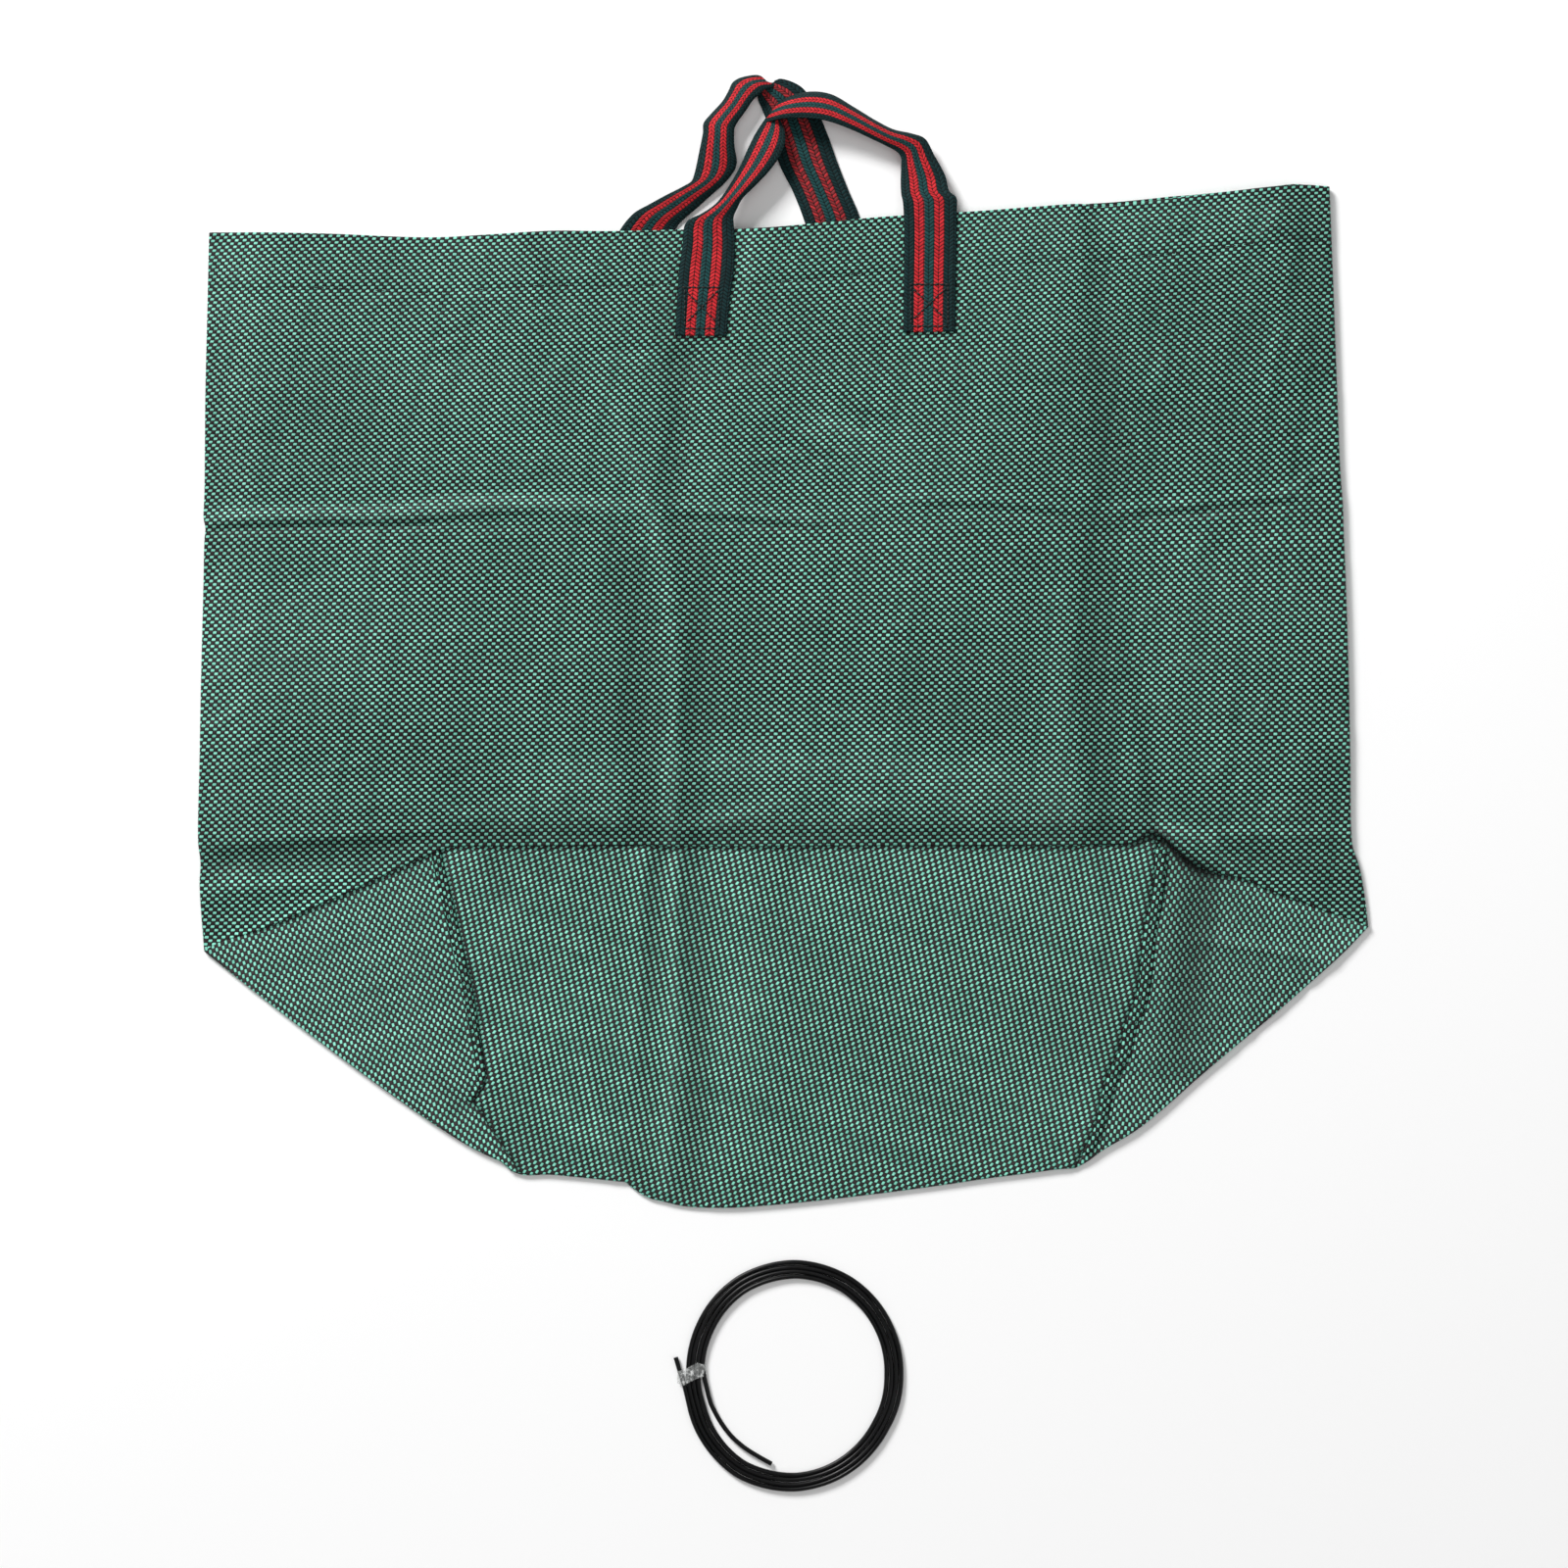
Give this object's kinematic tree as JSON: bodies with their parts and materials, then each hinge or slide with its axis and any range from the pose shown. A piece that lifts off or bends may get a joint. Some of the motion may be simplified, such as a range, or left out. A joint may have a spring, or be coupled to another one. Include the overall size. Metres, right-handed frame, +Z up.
{
  "type": "rope storage bag",
  "caption": "Round woven-tape rope bag laid flat with its base folded up, striped webbing carry handles and a loose hoop rod coiled beside it.",
  "frame": {"origin": "middle of the bag's own box, on the flat surface that it lies on; the hoop rod's coil is left out of that box", "axes": "+Y from the base towards the mouth and handles, +Z up out of the front wall, +X to the right as the front wall is looked at"},
  "size_m": [0.7332, 0.8863, 0.0175],
  "materials": {
    "wall_cloth": "plain-woven polyethylene tape, green tapes one way and black the other, slight gloss",
    "base_cloth": "the same woven tape cloth as the wall, laid at another angle",
    "webbing": "flat woven webbing in five lengthwise bands, dark green, red, dark green, red, dark green",
    "thread": "black sewing thread, lockstitch",
    "hoop_rod": "smooth black plastic rod with a soft gloss",
    "clear_tape": "clear packing tape, milky where it is creased"
  },
  "bodies": {
    "bag_wall": {"wall_front": "wall_cloth", "wall_back": "wall_cloth", "side_fold_left": "wall_cloth", "side_fold_right": "wall_cloth", "wall_fold_edge": "wall_cloth", "wall_underfold": "wall_cloth", "base_panel_upper": "base_cloth", "hem_turnover_front": "wall_cloth", "hem_turnover_back": "wall_cloth", "hem_thread_front": "thread", "front_tail_left": "webbing", "front_tail_right": "webbing", "back_tail_left": "webbing", "back_tail_right": "webbing", "tail_stitching_front": "thread", "tail_stitching_back": "thread"},
    "bag_base": {"wall_back_lower": "wall_cloth", "base_panel_lower": "base_cloth", "gusset_left": "wall_cloth", "gusset_right": "wall_cloth", "wall_corner_left": "wall_cloth", "wall_corner_right": "wall_cloth", "base_seam_left": "base_cloth", "base_seam_right": "base_cloth", "base_seam_thread": "thread"},
    "front_handle": {"front_handle_loop": "webbing"},
    "back_handle": {"back_handle_loop": "webbing"},
    "hoop_coil": {"hoop_rod_coil": "hoop_rod", "hoop_rod_outer_end": "hoop_rod", "hoop_rod_inner_end": "hoop_rod", "coil_tape": "clear_tape"}
  },
  "joints": [
    {"name": "base_fold", "type": "hinge", "parent": "bag_wall", "child": "bag_base", "pos_m": [0, -0.12782, 0.013], "axis": [-1, 0, 0], "range_deg": [0, 175]},
    {"name": "front_handle_swing", "type": "hinge", "parent": "bag_wall", "child": "front_handle", "pos_m": [0.02269, 0.26315, 0.0136], "axis": [0.9973, 0.073, 0], "range_deg": [0, 155]},
    {"name": "back_handle_swing", "type": "hinge", "parent": "bag_wall", "child": "back_handle", "pos_m": [-0.0282, 0.2587, -0.0003], "axis": [0.9989, 0.047, 0], "range_deg": [-170, 0]},
    {"name": "coil_lift", "type": "slide", "parent": "bag_wall", "child": "hoop_coil", "axis": [0, 0, 1], "range_m": [0, 0.15]}
  ]
}
